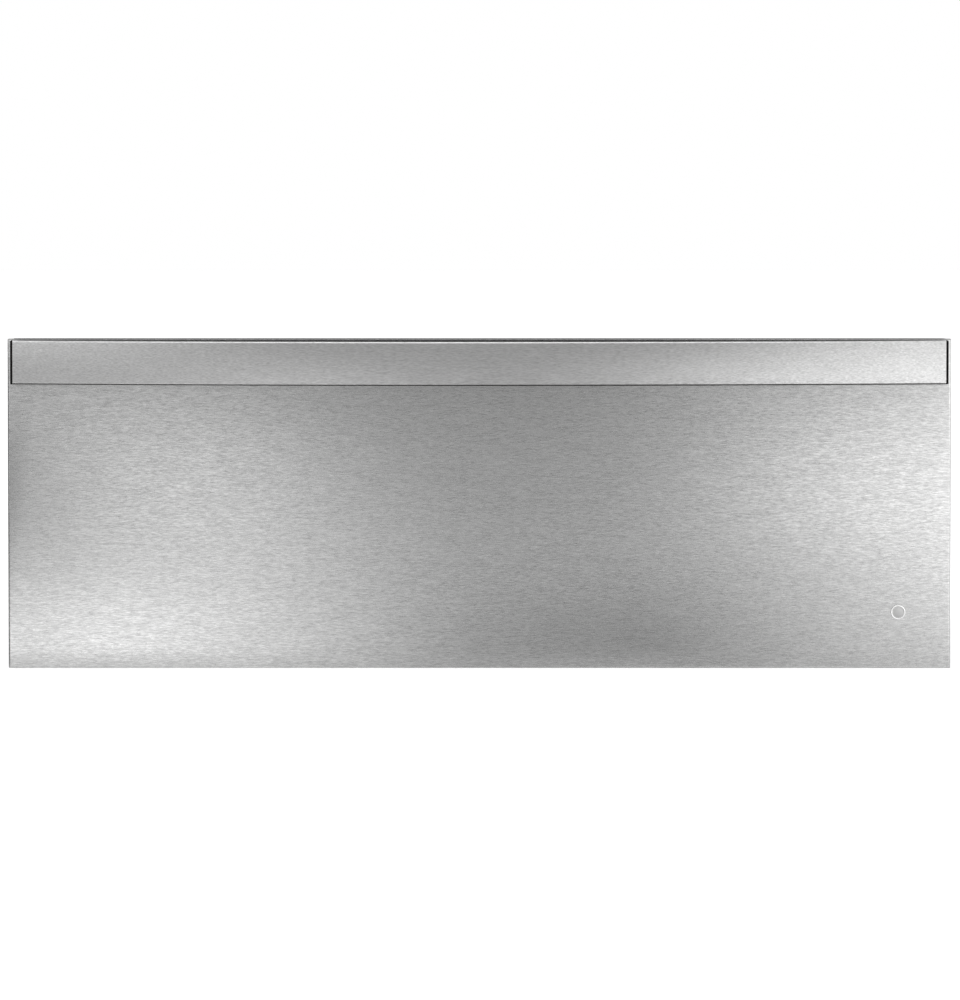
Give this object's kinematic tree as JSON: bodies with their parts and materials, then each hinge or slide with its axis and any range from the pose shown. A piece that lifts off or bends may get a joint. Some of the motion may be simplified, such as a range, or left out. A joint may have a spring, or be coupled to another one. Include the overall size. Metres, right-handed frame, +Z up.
{
  "type": "built-in warming drawer",
  "caption": "Built-in warming drawer: brushed steel front with a full-width bowed bar handle, heated cavity, lift-out pan and rack, telescopic ball-bearing slides and push-key controls.",
  "frame": {"origin": "centre of the four cabinet screw holes in the front frame, on the face of the cabinet that the frame's flange lies against", "axes": "+X to the right as seen from the room, +Y into the cabinet, +Z up; the drawer opens along -Y"},
  "size_m": [0.7556, 0.6672, 0.2642],
  "materials": {
    "brushed_stainless": "fine horizontal brushing",
    "plain_stainless": "cold-rolled, dull",
    "galvanised": "zinc-coated sheet",
    "zinc_plate": "bright zinc plating",
    "bearing_steel": "polished",
    "black_plastic": "satin",
    "dark_plastic": "satin",
    "pale_plastic": "matt",
    "green_board": "satin solder mask",
    "black_rubber": "matt",
    "grey_silicone": "matt",
    "mineral_wool": "loose fibre",
    "element_sheath": "oxidised",
    "ceramic_white": "unglazed",
    "lead_sleeve": "silicone sleeve",
    "medallion_steel": "spun"
  },
  "bodies": {
    "chassis": {"back_panel": "galvanised", "base_pan": "galvanised", "cavity_floor": "plain_stainless", "cavity_liner": "plain_stainless", "chassis_screws": "zinc_plate", "control_bezel": "dark_plastic", "control_board": "green_board", "control_housing": "black_plastic", "cord_grommet": "black_rubber", "element_brackets": "galvanised", "element_bushings": "ceramic_white", "front_frame": "plain_stainless", "heating_element": "element_sheath", "insulation_base": "mineral_wool", "insulation_top": "mineral_wool", "insulation_walls": "mineral_wool", "key_board": "green_board", "power_leads": "lead_sleeve", "rear_bulkhead": "galvanised", "side_panel_left": "galvanised", "side_panel_right": "galvanised", "signal_leads": "lead_sleeve", "slide_outer_left": "zinc_plate", "slide_outer_right": "zinc_plate", "slide_supports": "galvanised", "temperature_sensor": "element_sheath", "terminal_block": "pale_plastic", "thermal_cutout": "ceramic_white", "top_cover": "galvanised"},
    "drawer": {"slide_inner_left": "zinc_plate", "slide_inner_right": "zinc_plate", "drawer_rail_left": "galvanised", "drawer_rail_right": "galvanised", "drawer_cross_rail": "galvanised", "pan": "plain_stainless", "rack": "plain_stainless", "front_skin": "brushed_stainless", "inner_panel": "plain_stainless", "front_stiffeners": "galvanised", "front_insulation": "mineral_wool", "gasket": "grey_silicone", "handle_bar": "brushed_stainless", "handle_end_caps": "black_plastic", "handle_posts": "plain_stainless", "front_medallion": "medallion_steel", "drawer_screws": "zinc_plate", "drawer_rivets": "zinc_plate"},
    "vent_slider": {"vent_slider": "plain_stainless"},
    "slide_middle_left": {"slide_middle_left": "zinc_plate"},
    "ball_cage_outer_left": {"ball_cage_outer_left": "bearing_steel"},
    "ball_cage_inner_left": {"ball_cage_inner_left": "bearing_steel"},
    "release_lever_left": {"release_lever_left": "black_plastic"},
    "slide_middle_right": {"slide_middle_right": "zinc_plate"},
    "ball_cage_outer_right": {"ball_cage_outer_right": "bearing_steel"},
    "ball_cage_inner_right": {"ball_cage_inner_right": "bearing_steel"},
    "release_lever_right": {"release_lever_right": "black_plastic"},
    "key_power": {"key_power": "dark_plastic"},
    "key_heat": {"key_heat": "dark_plastic"},
    "key_timer": {"key_timer": "dark_plastic"}
  },
  "joints": [
    {"name": "drawer_slide", "type": "slide", "parent": "chassis", "child": "drawer", "axis": [0, -1, 0], "range_m": [0, 0.48]},
    {"name": "slide_middle_left", "type": "slide", "parent": "chassis", "child": "slide_middle_left", "axis": [0, -1, 0], "range_m": [0, 0.24]},
    {"name": "ball_cage_outer_left", "type": "slide", "parent": "chassis", "child": "ball_cage_outer_left", "axis": [0, -1, 0], "range_m": [0, 0.12]},
    {"name": "ball_cage_inner_left", "type": "slide", "parent": "chassis", "child": "ball_cage_inner_left", "axis": [0, -1, 0], "range_m": [0, 0.36]},
    {"name": "release_lever_left", "type": "hinge", "parent": "drawer", "child": "release_lever_left", "pos_m": [-0.3338, 0.215, -0.02], "axis": [1, 0, 0], "range_deg": [0, 8], "stiffness_Nm_per_rad": 0.2},
    {"name": "slide_middle_right", "type": "slide", "parent": "chassis", "child": "slide_middle_right", "axis": [0, -1, 0], "range_m": [0, 0.24]},
    {"name": "ball_cage_outer_right", "type": "slide", "parent": "chassis", "child": "ball_cage_outer_right", "axis": [0, -1, 0], "range_m": [0, 0.12]},
    {"name": "ball_cage_inner_right", "type": "slide", "parent": "chassis", "child": "ball_cage_inner_right", "axis": [0, -1, 0], "range_m": [0, 0.36]},
    {"name": "release_lever_right", "type": "hinge", "parent": "drawer", "child": "release_lever_right", "pos_m": [0.3338, 0.215, -0.02], "axis": [1, 0, 0], "range_deg": [0, 8], "stiffness_Nm_per_rad": 0.2},
    {"name": "vent_slider", "type": "slide", "parent": "drawer", "child": "vent_slider", "axis": [1, 0, 0], "range_m": [0, 0.014]},
    {"name": "key_power", "type": "slide", "parent": "chassis", "child": "key_power", "axis": [0, 1, 0], "range_m": [0, 0.0012], "stiffness_N_per_m": 300},
    {"name": "key_heat", "type": "slide", "parent": "chassis", "child": "key_heat", "axis": [0, 1, 0], "range_m": [0, 0.0012], "stiffness_N_per_m": 300},
    {"name": "key_timer", "type": "slide", "parent": "chassis", "child": "key_timer", "axis": [0, 1, 0], "range_m": [0, 0.0012], "stiffness_N_per_m": 300}
  ],
  "couplings": [
    {"joint": "slide_middle_left", "follows": "drawer_slide", "ratio": 0.5},
    {"joint": "ball_cage_outer_left", "follows": "drawer_slide", "ratio": 0.25},
    {"joint": "ball_cage_inner_left", "follows": "drawer_slide", "ratio": 0.75},
    {"joint": "slide_middle_right", "follows": "drawer_slide", "ratio": 0.5},
    {"joint": "ball_cage_outer_right", "follows": "drawer_slide", "ratio": 0.25},
    {"joint": "ball_cage_inner_right", "follows": "drawer_slide", "ratio": 0.75}
  ]
}
